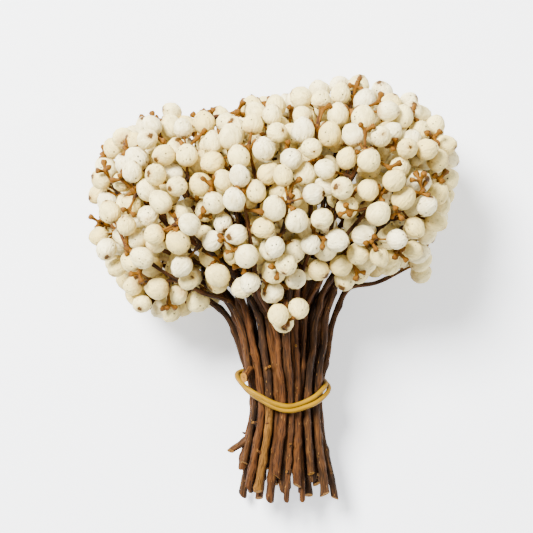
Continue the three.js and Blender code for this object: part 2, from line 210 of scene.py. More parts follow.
def below_tie(place, y):
    """Below the tie the stems fan out again, with a slight twist."""
    share = -y / FAN_LENGTH
    twist = FAN_TWIST * share
    x = place[0] * math.cos(twist) - place[2] * math.sin(twist)
    z = place[0] * math.sin(twist) + place[2] * math.cos(twist)
    return vec(x * (1 + FAN_WIDTH * share), y, z * (1 + FAN_HEIGHT * share))


points, looseness, rods, tethers = [], [], [], []


def point(p, loose):
    points.append(p)
    looseness.append(loose)
    return len(points) - 1


def rod(a, b, radius, sprig, kind, owner=-1):
    rods.append((a, b, radius, sprig, kind, owner))
    return len(rods) - 1


def grow_sprig(sprig, index, draw):
    lowest = pick(CUT_END, next(draw))
    sway = vec(pick(CUT_END_SWAY, next(draw)), 0, pick(CUT_END_SWAY, next(draw)))
    fork = along_lean(sprig["lean"] * FORK_LEAN, pick(FORK_DISTANCE, next(draw)))
    outward = unit(along_lean(sprig["lean"], 60) - fork)
    rise = length(fork - sprig["tie"])
    stem = [point(below_tie(sprig["tie"], lowest) + sway, 0), point(sprig["tie"], 0)]
    for t in STEM_BENDS:
        straight = sprig["tie"] + (fork - sprig["tie"]) * t
        bent = fork + outward * (-rise * (1 - t))
        stem.append(point(straight + (bent - straight) * (t * t * STEM_BOW), 0.5))
    stem.append(point(fork, 0.5))
    sprig["stem_radii"] = [sprig["radius"] * (1 - STEM_TAPER * k) for k in range(len(stem))]
    for k in range(1, len(stem)):
        rod(stem[k - 1], stem[k], sprig["stem_radii"][k - 1], index, "stem")
    sprig["stem"] = stem

    side = unit(np.cross(outward, vec(0, 0, 1)))
    over = np.cross(outward, side)
    turn = lambda p: math.atan2(np.dot(p - fork, over), np.dot(p - fork, side))
    in_turn = sorted(sprig["capsules"], key=turn)
    count = math.ceil(len(in_turn) / 3)
    share = lambda k: math.floor(k * len(in_turn) / count + 0.5)
    sprig["twigs"] = []
    for k in range(count):
        root = stem[-1 - (1 if k == 2 else 0)]
        sprig["twigs"].append(grow_twig(root, in_turn[share(k) : share(k + 1)], index, draw))


def grow_twig(root, carried, index, draw):
    """A twig runs out to its farthest capsule, and gives off the nearer ones on the way."""
    start = points[root]
    away = unit(sum(carried) * (1 / len(carried)) - start)
    reach = lambda p: float(np.dot(p - start, away))
    in_order = sorted(carried, key=reach)
    nodes, columns = [root], []
    first = reach(in_order[0])
    if len(in_order) == 1 or first > LONG_TWIG:
        nodes.append(point(start + away * ((first - 9) * 0.55), 0.8))
        rod(root, nodes[1], TWIG_RADIUS, index, "twig")
    for k, capsule in enumerate(in_order):
        before = nodes[-1]
        if k == len(in_order) - 1:
            columns.append(grow_capsule(before, capsule, index, draw))
            break
        along = max(KNOT_FROM_FORK, reach(capsule) - KNOT_BEFORE_SEEDS)
        knot = point(start + away * max(along, reach(points[before]) + KNOTS_APART), 0.9)
        rod(before, knot, TWIG_RADIUS, index, "twig")
        nodes.append(knot)
        columns.append(grow_capsule(knot, capsule, index, draw))
    return {"nodes": nodes, "columns": columns}


def grow_capsule(knot, middle, index, draw):
    stray = vec(*[pick(COLUMN_STRAY, next(draw)) for axis in range(3)])
    up = unit(unit(middle - points[knot]) + stray)
    tip = point(middle + up * TIP_BEYOND_SEEDS, 0.9)
    column = rod(knot, tip, COLUMN_RADIUS * 0.8, index, "column")
    side = unit(np.cross(up, unit(vec(0.3, 0.5, 0.8))))
    over = np.cross(up, side)
    start = next(draw) * 2 * math.pi
    seeds = []
    for k in range(2 if next(draw) < PAIRS_SHARE else 3):
        angle = start + k * 2 * math.pi / 3
        radius = pick(SEED_RADIUS, next(draw))
        ring = side * math.cos(angle) + over * math.sin(angle)
        seed = point(middle + ring * (radius * RING), 1)
        rod(seed, seed, radius * CORNER, index, "seed", column)
        tethers.append((seed, knot, tip, radius))
        seeds.append((seed, radius))
    return {"knot": knot, "tip": tip, "seeds": seeds}


def clamp(x):
    return np.minimum(1, np.maximum(0, x))


def dots(a, b):
    return (a * b).sum(1)


def lengths(a):
    return np.sqrt(dots(a, a))


def nearest(place, a0, a1, b0, b1):
    """Nearest points of pairs of rods, as shares of their lengths, and the way between them."""
    p, q = place[a0], place[b0]
    d, e, r = place[a1] - p, place[b1] - q, p - q
    dd, ee, de = dots(d, d) + 1e-9, dots(e, e) + 1e-9, dots(d, e)
    s = clamp((de * dots(e, r) - dots(d, r) * ee) / (dd * ee - de * de + 1e-9))
    t = clamp((de * s + dots(e, r)) / ee)
    s = clamp((de * t - dots(d, r)) / dd)
    return s, t, (p + d * s[:, None]) - (q + e * t[:, None])


def settle(steps):
    """Berries and twigs push each other aside until nothing shares its room."""
    place = home = np.array(points)
    loose = np.array(looseness)[:, None]
    a, b = np.array([r[0] for r in rods]), np.array([r[1] for r in rods])
    radius = np.array([r[2] for r in rods])
    of = np.array([r[3] for r in rods])
    is_seed = np.array([r[4] == "seed" for r in rods])
    owner = np.array([r[5] for r in rods])
    seed, knot, tip = (np.array([t[k] for t in tethers]) for k in range(3))
    seed_radius = np.array([t[3] for t in tethers])[:, None]
    i, j = np.triu_indices(len(rods), 1)
    may_meet = (of[i] != of[j]) | ((is_seed[i] | is_seed[j]) & (owner[i] != j) & (owner[j] != i))
    i, j = i[may_meet], j[may_meet]
    floor = np.where(is_seed, radius / CORNER - SINK, radius)
    lift = vec(0, math.sin(TILT) * 0.5, math.cos(TILT) * 0.5)
    for step in range(steps):
        if step % 10 == 0:
            middle = (place[a] + place[b]) / 2
            size = lengths(place[a] - place[b]) / 2 + radius
            gap = middle[i] - middle[j]
            close = lengths(gap) < size[i] + size[j] + 4
            ni, nj = i[close], j[close]
        push = np.zeros_like(place)
        s, t, apart = nearest(place, a[ni], b[ni], a[nj], b[nj])
        far = lengths(apart)
        missing = np.maximum(radius[ni] + radius[nj] + CLEAR - far, 0)
        by = apart * (missing * PUSH_APART / np.maximum(far, 1e-9))[:, None]
        np.add.at(push, a[ni], by * (1 - s)[:, None])
        np.add.at(push, b[ni], by * s[:, None])
        np.add.at(push, a[nj], by * (t - 1)[:, None])
        np.add.at(push, b[nj], by * -t[:, None])
        up = place[tip] - place[knot]
        up = up / lengths(up)[:, None]
        centre = place[tip] - up * TIP_BEYOND_SEEDS
        out = place[seed] - centre
        rise = dots(out, up)[:, None]
        ring = out - up * rise
        ring = ring / np.maximum(lengths(ring), 1e-9)[:, None]
        there = centre + ring * (seed_radius * RING) + up * np.clip(rise, -2, 2)
        error = there - place[seed]
        np.add.at(push, seed, error * SEED_PULL)
        np.add.at(push, tip, error * TIP_PULL)
        for end in (a, b):
            low = np.maximum(floor - height(place[end]), 0)
            np.add.at(push, end, low[:, None] * lift)
        by = (push + (home - place) * (PULL_HOME * (1 - step / steps))) * loose
        most = np.minimum(1, LONGEST_MOVE / np.maximum(lengths(by), 1e-9))
        place = np.floor((place + by * most[:, None]) * 1000 + 0.5) / 1000
    return place


draw = draws(LAYOUT_SEED)
sprigs = share_out(place_capsules(draw))
pack_tie(sprigs, draw)
for index, sprig in enumerate(sprigs):
    grow_sprig(sprig, index, draw)
settled = settle(SETTLING_STEPS)

# The berries packed between.
# A real head is crowded: among the capsules that the solids carry sit many single berries more,
# each on a short stalk from the nearest wood, and bare columns whose berries have dropped off.
PACKED_SEED = 7
PACKED_RADIUS = [3.85, 4.5]
PACKED_DEPTH = [3, 25]
PACKED_TRIES = 40000
PACKED_OVERLAP = 0.15
BARE_DEPTH = [3, 9]
BARE_TRIES = 5000
BARE_APART = 12.5
BARE_ROOM = 0.7
BARE_REACH = [3, 16]
FEET_TRIED = 8

rod_a, rod_b = settled[[r[0] for r in rods]], settled[[r[1] for r in rods]]
rod_is_seed = np.array([r[4] == "seed" for r in rods])
rod_radius = np.array([r[2] for r in rods]) / np.where(rod_is_seed, CORNER, 1)
rod_sprig = np.array([r[3] for r in rods])


def gap_to_rods(p, which=slice(None)):
    """How far a point is from each of the rods, and where along the rod it is nearest."""
    start = rod_a[which]
    run = rod_b[which] - start
    share = clamp(dots(p - start, run) / (dots(run, run) + 1e-9))
    return lengths(start + run * share[:, None] - p) - rod_radius[which], share


packed_at, packed_size = np.zeros((0, 3)), np.zeros(0)
draw = draws(PACKED_SEED)
for tries in range(PACKED_TRIES):
    p = in_head_box(draw)
    size = pick(PACKED_RADIUS, next(draw))
    if not PACKED_DEPTH[0] < depth_in_head(p) < PACKED_DEPTH[1] or height(p) < size + 0.1:
        continue
    if gap_to_rods(p)[0].min() < size - PACKED_OVERLAP:
        continue
    off = packed_at - p
    if len(packed_at) and (lengths(off) - packed_size).min() < size - PACKED_OVERLAP:
        continue
    packed_at = np.vstack([packed_at, p])
    packed_size = np.append(packed_size, size)

ball_at = np.vstack([rod_a[rod_is_seed], packed_at])
ball_size = np.append(rod_radius[rod_is_seed], packed_size)
bearers = np.array([k for k, r in enumerate(rods) if r[4] in ("twig", "column")])


def is_free(start, end, room):
    """Whether a straight line keeps clear of every berry but one that its own end sits in."""
    run = end - start
    along = clamp(((ball_at - start) @ run) / (run @ run))
    off = start + along[:, None] * run - ball_at
    others = lengths(ball_at - end) > 0.1
    return not ((lengths(off) < ball_size + room) & others).any()


def grows_from(p):
    """The nearest wood that a straight stalk to p can start from, and its sprig."""
    far, share = gap_to_rods(p, bearers)
    nearest_first = np.argsort(far)[:FEET_TRIED]
    feet = []
    for k in nearest_first:
        start, end = rod_a[bearers[k]], rod_b[bearers[k]]
        feet.append(start + (end - start) * share[k])
    free = [k for k, foot in enumerate(feet) if is_free(foot, p, -0.8)]
    chosen = free[0] if free else 0
    return feet[chosen], rods[bearers[nearest_first[chosen]]][3]


packed = []
for p, size in zip(packed_at, packed_size):
    foot, sprig_number = grows_from(p)
    packed.append({"at": p, "radius": size, "foot": foot, "sprig": sprig_number})

bare = []
for tries in range(BARE_TRIES):
    p = in_head_box(draw)
    if not BARE_DEPTH[0] < depth_in_head(p) < BARE_DEPTH[1] or height(p) < 3:
        continue
    room = lengths(ball_at - p) - ball_size
    if room.min() < BARE_ROOM or any(length(p - other["at"]) < BARE_APART for other in bare):
        continue
    foot, sprig_number = grows_from(p)
    if is_free(foot, p, -0.6) and BARE_REACH[0] < length(p - foot) < BARE_REACH[1]:
        bare.append({"at": p, "foot": foot, "sprig": sprig_number})

# Stems and twigs.
# Dried shoots of the tallow tree: thin brown bark, shrunk into lengthways wrinkles, with pale
# pores and a swelling wherever a leaf sat. Each was snipped off askew, which shows its tan wood.
RING_STEP = 1.5
WOOD_SIDES = 12
BRANCH_SWAY = 0.17
WRINKLE = 0.13
LEAF_SCAR_SPACING = 12
LEAF_SCAR_HEIGHT = 0.4
LEAF_SCAR_LENGTH = 0.0015
CUT_SLANT = -0.8
ROOT_SWELLING = 0.35
ROOT_LENGTH = 1.7
SHORTEST_TWIG = 0.5
LONGEST_COLUMN = 8.5
TIP_PROUD = 1.2
HUB_BELOW_TIP = 2.2
HELD_UP, HELD_IN = 0.86, 0.42
PEELED_STEM_AT = [-8, 0, 9]
PEELED = 1.7
UNRIPE = 1.3
UNRIPE_RADIUS = [1.8, 2.3]
UNRIPE_OUT = 3.2
SIDE_TWIG_RADIUS = 0.72
BARE_ARM = [3.2, 5]
BARE_STALK = 6
PACKED_STALK = 5.5
NECK = 0.55
STUB_TRIES = 90
STUB_LENGTH = [0.4, 1.8]
STUB_RADII = [0.42, 0.7]
STUB_LEVEL = [-32, 34]
CLEAR_OF_BAND = 9
CUT_BRANCHES = [
    (vec(-1, 0, 0), -20, vec(-6.5, -4.5, 1.5), 1.35),
    (vec(-0.75, 0, 0.66), 11, vec(-2.2, -2, 5.2), 1.6),
]
PLAIN_POINT = dict.fromkeys(("thick", "along", "tone", "branch", "seat"), 0)
PLAIN_POINT.update(up=(0, 0, 1), out=(1, 0, 0), size=(1, 1, 1))


def turned(v):
    """From the layout's directions to the part's."""
    v = np.asarray(v, dtype=float)
    y = v[..., 1] * math.cos(TILT) - v[..., 2] * math.sin(TILT)
    z = v[..., 1] * math.sin(TILT) + v[..., 2] * math.cos(TILT)
    return np.stack([v[..., 0], y, z], -1)


def placed(p):
    """From the layout's millimetres to the part's metres."""
    return (turned(p) + vec(-FOOTPRINT_MIDDLE[0], -FOOTPRINT_MIDDLE[1], TIE_HEIGHT)) / 1000


def smooth_path(nodes, radii, step):
    """A curve through the nodes at even steps, with its radius and its length so far."""
    nodes = np.array(nodes)
    gaps = np.diff(nodes, axis=0)
    chord = np.append(0, np.cumsum(lengths(gaps)))
    slope = np.gradient(nodes, chord, axis=0)
    at = np.linspace(0, chord[-1], max(3, round(chord[-1] / step) + 1))
    k = np.clip(np.searchsorted(chord, at, side="right") - 1, 0, len(nodes) - 2)
    span = (chord[k + 1] - chord[k])[:, None]
    t = (at - chord[k])[:, None] / span
    curve = (2 * t**3 - 3 * t**2 + 1) * nodes[k] + (t**3 - 2 * t**2 + t) * span * slope[k]
    curve += (3 * t**2 - 2 * t**3) * nodes[k + 1] + (t**3 - t**2) * span * slope[k + 1]
    return curve, np.interp(at, chord, radii), at


def lay_branch(growth, nodes, radii, tone, rng, root=0.0, peeled=0.0):
    curve, radius, at = smooth_path(nodes, radii, RING_STEP)
    loose = np.sin(np.pi * np.clip(at / at[-1], 0, 1)) * BRANCH_SWAY
    for axis in range(3):
        phase, pace = rng.uniform(0, 6.3), rng.uniform(0.22, 0.4)
        curve[:, axis] += loose * np.sin(at * pace + phase)
    radius = radius * (1 + root * np.exp(-((at / ROOT_LENGTH) ** 2)))
    first, branch = len(growth["points"]), rng.uniform(0, 50)
    for k in range(len(curve)):
        ring = dict(PLAIN_POINT, at=placed(curve[k]), branch=branch)
        ring.update(thick=radius[k] / 1000, along=at[k] / 1000)
        ring["tone"] = PEELED if at[k] < peeled else tone
        growth["points"].append(ring)
    growth["edges"] += [(first + k - 1, first + k) for k in range(1, len(curve))]


def lay_seat(growth, kind, at, up, out, size, tone):
    seat = dict(PLAIN_POINT, at=placed(at), seat=kind, tone=tone, branch=tone * 50)
    seat.update(up=turned(up), out=turned(out), size=np.array(size) / 1000)
    growth["points"].append(seat)


def bark_end(knot, tip, longest=LONGEST_COLUMN):
    """Where the bark stops and the bare column towards the tip begins."""
    run = tip - knot
    far = length(run)
    return knot if far <= longest else tip - run * (longest / far)


def lay_stalk(growth, start, tip, longest, rng):
    """A thin twig towards the tip, as far as the bare column, whose foot it gives back."""
    foot = bark_end(start, tip, longest)
    if length(foot - start) > SHORTEST_TWIG:
        radii = [SIDE_TWIG_RADIUS, SIDE_TWIG_RADIUS * 0.85]
        lay_branch(growth, [start, foot], radii, rng.uniform(), rng, root=ROOT_SWELLING)
    return foot


def stem_at(sprig, y):
    stem = settled[sprig["stem"]]
    k = max(1, int(np.argmax(stem[:, 1] > y)))
    share = (y - stem[k - 1][1]) / (stem[k][1] - stem[k - 1][1])
    return stem[k - 1] + (stem[k] - stem[k - 1]) * share


def outermost(side):
    return max(range(len(sprigs)), key=lambda k: sprigs[k]["tie"] @ side)


def lay_column(growth, foot, tip, width, rng):
    up = unit(tip - foot)
    across = unit(np.cross(up, vec(*rng.normal(size=3))))
    size = (width, width, length(tip - foot) + 0.4)
    lay_seat(growth, 1, foot - up * 0.4, up, across, size, rng.uniform())


def lay_berry(growth, at, radius, up, out, rng, tone=None):
    stretch = rng.uniform([0.94, 0.96, 0.95], [1.05, 1.05, 1.08])
    lay_seat(growth, 2, at, up, out, radius * stretch, rng.uniform() if tone is None else tone)


def lay_bare_arms(growth, hub, up, sides, rng):
    """Short club-headed arms with no berry, where there is room for them."""
    for side in sides:
        way = unit(side * rng.uniform(0.75, 1.0) + up * rng.uniform(0.4, 0.8))
        end = hub + way * rng.uniform(*BARE_ARM)
        if is_free(hub + way * 1.5, end, 0.5) and height(end) > 1.5:
            lay_column(growth, hub, end, rng.uniform(1.15, 1.5), rng)


def lay_unripe(growth, hub, up, side, rng):
    """The small berry that stayed unripe in a capsule of two."""
    small = pick(UNRIPE_RADIUS, rng.uniform())
    at = hub + side * UNRIPE_OUT + up * 0.5
    if is_free(hub + side * (UNRIPE_OUT - 0.1), at, small - 0.6) and height(at) > small:
        lay_berry(growth, at, small, up, side, rng, tone=UNRIPE)


rng = np.random.default_rng(5)
growths = []
peeled_stem = min(range(len(sprigs)), key=lambda k: length(sprigs[k]["tie"] - vec(*PEELED_STEM_AT)))
for index, sprig in enumerate(sprigs):
    growth = {"points": [], "edges": []}
    stem = [settled[k] for k in sprig["stem"]]
    tone = rng.uniform()
    peeled = length(stem[1] - stem[0]) if index == peeled_stem else 0.0
    for order, twig in enumerate(sprig["twigs"]):
        nodes = [settled[k] for k in twig["nodes"]]
        last = twig["columns"][-1]
        end = bark_end(nodes[-1], settled[last["tip"]])
        if length(end - nodes[-1]) > SHORTEST_TWIG:
            nodes.append(end)
        radii = list(np.linspace(TWIG_RADIUS * 1.05, TWIG_RADIUS * 0.72, len(nodes)))
        if order == 0:
            path, sizes = stem + nodes[1:], sprig["stem_radii"] + radii[1:]
            lay_branch(growth, path, sizes, tone, rng, peeled=peeled)
        elif len(nodes) > 1:
            lay_branch(growth, nodes, radii, tone, rng, root=ROOT_SWELLING)
        for column in twig["columns"]:
            knot, tip = settled[column["knot"]], settled[column["tip"]]
            foot = bark_end(knot, tip)
            tip = tip + unit(tip - knot) * TIP_PROUD
            if column is not last and length(foot - knot) > SHORTEST_TWIG:
                radii = [SIDE_TWIG_RADIUS * 1.15, SIDE_TWIG_RADIUS]
                lay_branch(growth, [knot, foot], radii, tone, rng, root=ROOT_SWELLING)
            lay_column(growth, foot, tip, rng.uniform(1.0, 1.3), rng)
            up = unit(tip - knot)
            hub = tip - up * HUB_BELOW_TIP
            outs = []
            for seed, radius in column["seeds"]:
                out = settled[seed] - knot
                out = unit(out - up * (out @ up))
                hold = settled[seed] + (up * HELD_UP - out * HELD_IN) * radius
                lay_column(growth, hub, hold, rng.uniform(1.1, 1.4), rng)
                lay_berry(growth, settled[seed], radius, up, out, rng)
                outs.append(out)
            if len(outs) == 2:
                side = unit(-outs[0] - outs[1])
                lay_unripe(growth, hub, up, side, rng)
                lay_bare_arms(growth, hub, up, [side], rng)
    growths.append(growth)

for column in bare:
    growth = growths[column["sprig"]]
    up = unit(column["at"] - column["foot"])
    foot = lay_stalk(growth, column["foot"], column["at"], BARE_STALK, rng)
    lay_column(growth, foot, column["at"] + up * TIP_PROUD, rng.uniform(0.95, 1.2), rng)
    across = unit(np.cross(up, vec(*rng.normal(size=3))))
    over = np.cross(up, across)
    turns = rng.uniform(0, 6.3) + np.arange(3) * 2.1
    sides = [across * math.cos(turn) + over * math.sin(turn) for turn in turns]
    lay_bare_arms(growth, column["at"], up, sides, rng)

for side, start, run, radius in CUT_BRANCHES:
    index = outermost(side)
    root = stem_at(sprigs[index], start)
    path, sizes = [root + run, root + run * 0.45, root], [radius * 0.94, radius, radius * 1.1]
    lay_branch(growths[index], path, sizes, rng.uniform(), rng)

stub_draw = draws(3)
for tries in range(STUB_TRIES):
    index = math.floor(next(stub_draw) * len(sprigs))
    level = pick(STUB_LEVEL, next(stub_draw))
    foot = stem_at(sprigs[index], level)
    turn = next(stub_draw) * math.pi
    way = unit(vec(math.cos(turn), pick([0.3, 1], next(stub_draw)), math.sin(turn)))
    end = foot + way * (sprigs[index]["radius"] + pick(STUB_LENGTH, next(stub_draw)))
    beside = gap_to_rods(end)[0]
    if abs(level) > CLEAR_OF_BAND and min(beside[rod_sprig != index]) > 0.9:
        lay_branch(growths[index], [end, foot], STUB_RADII, rng.uniform(), rng)

for berry in packed:
    growth = growths[berry["sprig"]]
    up = unit(berry["at"] - berry["foot"])
    neck = berry["at"] - up * berry["radius"] * NECK
    foot = lay_stalk(growth, berry["foot"], neck, PACKED_STALK, rng)
    lay_column(growth, foot, neck, rng.uniform(0.75, 1.0), rng)
    lay_berry(growth, berry["at"], berry["radius"], up, vec(*rng.normal(size=3)), rng)


def put(kind, inputs=None, **settings):
    """Adds a node to the tree that is being built, which every helper here calls tree.

    An input is given its value, or the output that feeds it.
    """
    node = tree.nodes.new(kind)
    for name, value in settings.items():
        setattr(node, name, value)
    for socket, value in (inputs or {}).items():
        if isinstance(value, bpy.types.NodeSocket):
            tree.links.new(value, node.inputs[socket])
        else:
            node.inputs[socket].default_value = value
    return node


def result(kind, inputs=None, **settings):
    """The first output of a new node."""
    return put(kind, inputs, **settings).outputs[0]


def work_out(operation, *values):
    """A number from a sum on numbers."""
    return result("ShaderNodeMath", dict(enumerate(values)), operation=operation)


def times(*values):
    return work_out("MULTIPLY", *values)


def work_out_vector(operation, *values, out=0, scale=None):
    inputs = dict(enumerate(values))
    if scale is not None:
        inputs["Scale"] = scale
    return put("ShaderNodeVectorMath", inputs, operation=operation).outputs[out]


def stretched(vector, x, y, z):
    return work_out_vector("MULTIPLY", vector, (x, y, z))


def vector_of(x, y, z):
    return result("ShaderNodeCombineXYZ", {0: x, 1: y, 2: z})


def axes_of(vector):
    return put("ShaderNodeSeparateXYZ", {0: vector}).outputs


def noise(place, scale, detail, roughness=0.5):
    inputs = {"Vector": place, "Scale": scale, "Detail": detail, "Roughness": roughness}
    return result("ShaderNodeTexNoise", inputs)


def limit(value, low, high, to_low=0.0, to_high=1.0):
    inputs = {0: value, 1: low, 2: high, 3: to_low, 4: to_high}
    return result("ShaderNodeMapRange", inputs, interpolation_type="SMOOTHSTEP")


def from_attribute(name, kind="FLOAT"):
    return result("GeometryNodeInputNamedAttribute", {"Name": name}, data_type=kind)


def from_mesh(name, out):
    return put("ShaderNodeAttribute", attribute_name=name).outputs[out]


SOCKET_TYPES = {
    int: "NodeSocketInt",
    float: "NodeSocketFloat",
    tuple: "NodeSocketVector",
    type(None): "NodeSocketGeometry",
}


def new_group(name, kind, inputs, outputs):
    """A node group with its named inputs, which are of the type of their values, and outputs."""
    group = bpy.data.node_groups.new(name, kind)
    for way, sockets in (("INPUT", inputs), ("OUTPUT", outputs)):
        for label, value in sockets.items():
            socket_type = SOCKET_TYPES[type(value)]
            socket = group.interface.new_socket(label, in_out=way, socket_type=socket_type)
            if value is not None:
                socket.default_value = value
    return group, group.nodes.new("NodeGroupInput").outputs


# Drying marks that all these materials share: cloudy patches, and scattered small specks.
MARK_INPUTS = {"Place": (0, 0, 0), "Patch Size": 1.0, "Speck Size": 0.2, "Speck Share": 0.2}
MARK_OUTPUTS = {"Patches": 0.0, "Specks": 0.0, "Relief": 0.0}
dry_marks, given = new_group("dry marks", "ShaderNodeTree", MARK_INPUTS, MARK_OUTPUTS)
tree = dry_marks
patch_pace = work_out("DIVIDE", 1.0, given["Patch Size"])
speck_pace = work_out("DIVIDE", 1.0, given["Speck Size"])
clouds = noise(given["Place"], patch_pace, 4.0, 0.6)
cells = put("ShaderNodeTexVoronoi", {"Vector": given["Place"], "Scale": speck_pace}).outputs
speck_draw = result("ShaderNodeSeparateColor", {"Color": cells["Color"]})
is_speck = work_out("LESS_THAN", speck_draw, given["Speck Share"])
marks_out = {
    "Patches": limit(clouds, 0.35, 0.68),
    "Specks": times(is_speck, limit(cells["Distance"], 0.12, 0.3, 1.0, 0.0)),
    "Relief": noise(given["Place"], speck_pace, 3.0, 0.65),
}
put("NodeGroupOutput", marks_out)


def add_marks(place, patch, speck, share):
    inputs = {"Place": place, "Patch Size": patch, "Speck Size": speck, "Speck Share": share}
    return put("ShaderNodeGroup", inputs, node_tree=dry_marks).outputs


def new_material(name, roughness, specular):
    material = bpy.data.materials.new(name)
    material.use_nodes = True
    tree = material.node_tree
    shader = tree.nodes["Principled BSDF"]
    shader.inputs["Roughness"].default_value = roughness
    shader.inputs["Specular IOR Level"].default_value = specular
    return material, tree, shader


def colour(r, g, b):
    """A colour as it is seen on a screen, 0 to 255."""
    line = lambda c: c / 12.92 if c <= 0.04045 else ((c + 0.055) / 1.055) ** 2.4
    return (line(r / 255), line(g / 255), line(b / 255), 1)


def paint(shader, ground, coats):
    """Lays each coat of colour over the ground as far as its mask says."""
    base = colour(*ground)
    for mask, seen in coats:
        inputs = {0: mask, 6: base, 7: colour(*seen)}
        base = put("ShaderNodeMix", inputs, data_type="RGBA").outputs[2]
    tree.links.new(base, shader.inputs["Base Color"])
    return base


def emboss(shader, relief, strength, distance):
    inputs = {"Height": relief, "Strength": strength, "Distance": distance}
    tree.links.new(result("ShaderNodeBump", inputs), shader.inputs["Normal"])


bark, tree, shader = new_material("tallow_bark", 0.72, 0.14)
grain = from_mesh("grain", "Vector")
tone = from_mesh("tone", "Fac")
marks = add_marks(stretched(grain, 1000, 1000, 300), 1.2, 0.7, 0.2)
streaks = noise(stretched(grain, 300, 300, 70), 1.0, 3.0)
wrinkles = noise(stretched(grain, 2600, 2600, 200), 1.0, 2.0)
bark_coats = [
    (limit(streaks, 0.32, 0.68), (80, 47, 16)),
    (limit(tone, 0.4, 0.95, 0.0, 0.5), (98, 54, 18)),
    (limit(tone, 0.35, 0.0, 0.0, 0.6), (34, 19, 9)),
    (limit(tone, 1.4, 1.6, 0.0, 0.75), (126, 84, 26)),
    # Painted shade and painted highlight: the wrinkle hollows are painted darker and their ridges
    # lighter.
    (limit(wrinkles, 0.5, 0.36, 0.0, 0.8), (14, 7, 2)),
    (limit(wrinkles, 0.56, 0.7, 0.0, 0.5), (112, 74, 34)),
    (times(marks["Patches"], 0.4), (44, 28, 14)),
    (times(marks["Specks"], 0.85), (140, 98, 46)),
]
paint(shader, (32, 18, 6), bark_coats)
relief = work_out("MULTIPLY_ADD", marks["Specks"], 0.5, wrinkles)
relief = work_out("MULTIPLY_ADD", marks["Relief"], 0.4, relief)
emboss(shader, relief, 0.9, 0.0006)
tree.links.new(limit(wrinkles, 0.3, 0.7, 0.85, 0.6), shader.inputs["Roughness"])

cut_wood, tree, shader = new_material("cut_wood", 0.8, 0.12)
grain = from_mesh("grain", "Vector")
from_pith = work_out_vector("LENGTH", stretched(grain, 1000, 1000, 0), out="Value")
rings = work_out("SINE", times(from_pith, 11.0))
marks = add_marks(stretched(grain, 1000, 1000, 1000), 1.1, 0.3, 0.3)
cut_coats = [
    (marks["Patches"], (118, 78, 22)),
    (limit(rings, -1, 1, 0.0, 0.35), (104, 62, 16)),
    (limit(from_pith, 0.42, 0.18), (72, 38, 10)),
]
paint(shader, (150, 106, 34), cut_coats)
emboss(shader, marks["Relief"], 0.5, 0.0003)

# Columns.
# The middle of each seed capsule stays on when the husk falls: a bare, orange-brown stalk of dry
# fibre, thin below and thickened into three shoulders on top, where the seeds hang on.
COLUMN_SIDES = 6
COLUMN_RINGS = 5
SHANK = 0.46
SHOULDERS = 0.16
CLUB_OUTLINE = [(0, 0.3), (0.15, 0.08), (0.45, 0.08), (0.7, 0.5), (0.88, 1.0), (1, 0.6)]

column_fibre, tree, shader = new_material("column_fibre", 0.62, 0.14)
spot = from_mesh("place", "Vector")
tone = from_mesh("tone", "Fac")
apart = vector_of(tone, tone, 0)
shifted = work_out_vector("MULTIPLY_ADD", apart, (31, 17, 0), spot)
fibres = noise(stretched(shifted, 5, 5, 1.5), 1.0, 3.0)
marks = add_marks(shifted, 0.8, 0.26, 0.24)
fibre_coats = [
    (limit(fibres, 0.3, 0.7), (128, 82, 8)),
    (limit(tone, 0.5, 1.0, 0.0, 0.6), (78, 44, 0)),
    (limit(axes_of(spot)[2], 0.3, 0.0, 0.0, 0.6), (52, 26, 4)),
    (times(marks["Specks"], 0.6), (46, 22, 2)),
]
paint(shader, (74, 43, 0), fibre_coats)
emboss(shader, fibres, 0.6, 0.0004)

# Berries.
# Each berry is one hard seed under a thin coat of dry, matt white wax. It is a little longer than
# wide, flatter where it leans on the column, faintly ridged, and specked with grey and brown.
BERRY_GRID = 4
BERRY_LENGTH = 1.04
FLAT_SIDE = 0.93
POINT = 0.12
HELD_SPOT = (-0.42, 0, 0.9)

seed_wax, tree, shader = new_material("seed_wax", 0.58, 0.2)
spot = from_mesh("place", "Vector")
tone = from_mesh("tone", "Fac")
apart = vector_of(tone, tone, tone)
shifted = work_out_vector("MULTIPLY_ADD", apart, (41, 23, 57), spot)
marks = add_marks(shifted, 0.9, 0.34, 0.2)
fine = add_marks(shifted, 0.35, 0.13, 0.22)
ridges = noise(stretched(shifted, 4.4, 4.4, 1.1), 1.0, 2.0)
held_at = work_out_vector("DISTANCE", spot, HELD_SPOT, out="Value")
held_at = work_out("MULTIPLY_ADD", marks["Relief"], 0.75, held_at)
uneven = work_out("FRACT", times(tone, 7.0))
held_at = work_out("MULTIPLY_ADD", uneven, 0.35, held_at)
